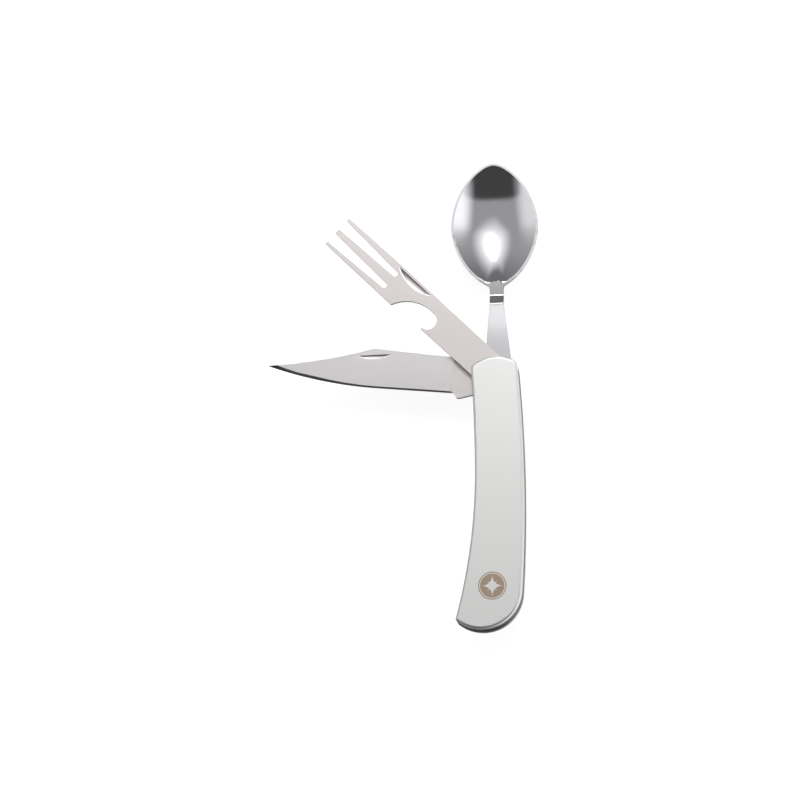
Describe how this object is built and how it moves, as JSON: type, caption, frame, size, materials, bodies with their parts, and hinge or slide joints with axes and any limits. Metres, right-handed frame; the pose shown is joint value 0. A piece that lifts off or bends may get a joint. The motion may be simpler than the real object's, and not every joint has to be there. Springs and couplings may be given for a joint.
{
  "type": "folding camping cutlery",
  "caption": "Steel pocket handle with a fork and bottle opener, a clip point knife and a spoon that fold out on one pivot.",
  "frame": {"origin": "where the pivot's axis meets the flat face of the front cover", "axes": "+Z is the front cover's outward normal and the pivot's axis, +Y runs along the handle from the tail to the pivot end"},
  "size_m": [0.1055, 0.1871, 0.0227],
  "materials": {
    "cover": "fine satin",
    "liner": "ground",
    "pin": "satin",
    "tool": "satin",
    "spoon": "polished"
  },
  "bodies": {
    "handle": {"front_cover": "cover", "front_liner": "liner", "fork_spring": "liner", "middle_liner": "liner", "knife_spring": "liner", "back_liner": "liner", "back_cover": "cover", "pivot_pin": "pin", "centre_pin": "pin", "tail_pin": "pin", "spring_washer": "pin", "rivet_washer": "pin", "spoon_stop_pin": "pin"},
    "fork": {"fork": "tool"},
    "knife": {"knife_blade": "tool"},
    "spoon": {"spoon": "spoon"}
  },
  "joints": [
    {"name": "fork_pivot", "type": "hinge", "parent": "handle", "child": "fork", "pos_m": [0, 0, 0], "axis": [0, 0, 1], "range_deg": [-46.2, 127.8]},
    {"name": "knife_pivot", "type": "hinge", "parent": "handle", "child": "knife", "pos_m": [0, 0, 0], "axis": [0, 0, 1], "range_deg": [-84.9, 89.1]},
    {"name": "spoon_pivot", "type": "hinge", "parent": "handle", "child": "spoon", "pos_m": [0, 0, 0], "axis": [0, 0, 1], "range_deg": [0, 178]}
  ]
}
